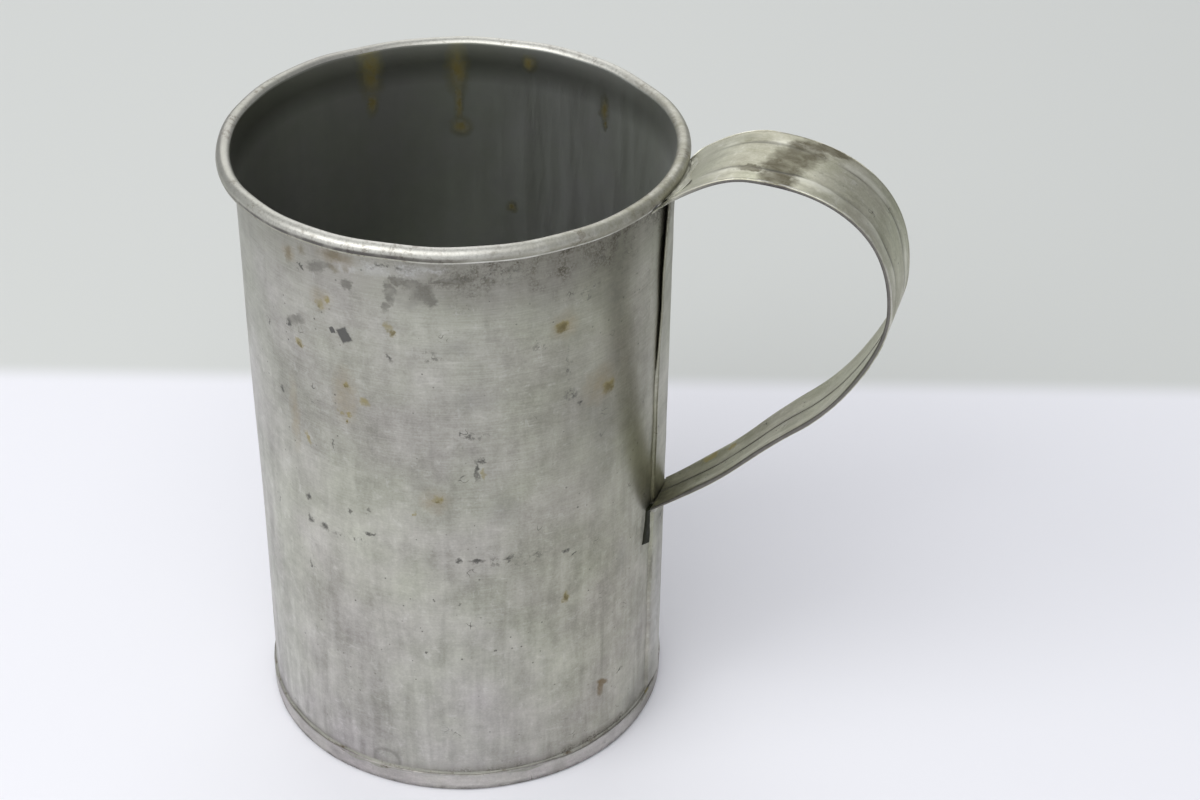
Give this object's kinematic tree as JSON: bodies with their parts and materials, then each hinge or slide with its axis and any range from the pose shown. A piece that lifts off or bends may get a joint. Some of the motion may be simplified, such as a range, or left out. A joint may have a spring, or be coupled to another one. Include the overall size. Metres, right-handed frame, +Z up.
{
  "type": "measuring jug",
  "caption": "Soldered tinplate measuring jug: straight cylinder with a wired rim, a lock seam behind the handle, a set-on base pan and a hemmed, tapered strap handle.",
  "frame": {"origin": "centre of the flat underside of the base pan, on the axis of the cylinder", "axes": "+Z up along the cylinder's axis, +X from the axis towards the handle, +Y completes a right-handed frame; the folded edge of the lock seam faces -Y"},
  "size_m": [0.15, 0.102, 0.1534],
  "materials": {
    "tinplate_wall": "dull aged tin, fine scratches",
    "rim_wire_steel": "drawn iron wire, plain",
    "tinplate_base": "dull aged tin",
    "tinplate_handle": "handled tin, worn bright at the folds",
    "solder": "grey soft solder, wiped"
  },
  "bodies": {
    "root": {"body_sheet": "tinplate_wall", "rim_wire": "rim_wire_steel", "base_pan": "tinplate_base", "handle_strap": "tinplate_handle", "side_seam_solder": "solder", "base_seam_solder": "solder", "handle_top_solder": "solder", "handle_foot_solder": "solder"}
  },
  "joints": []
}
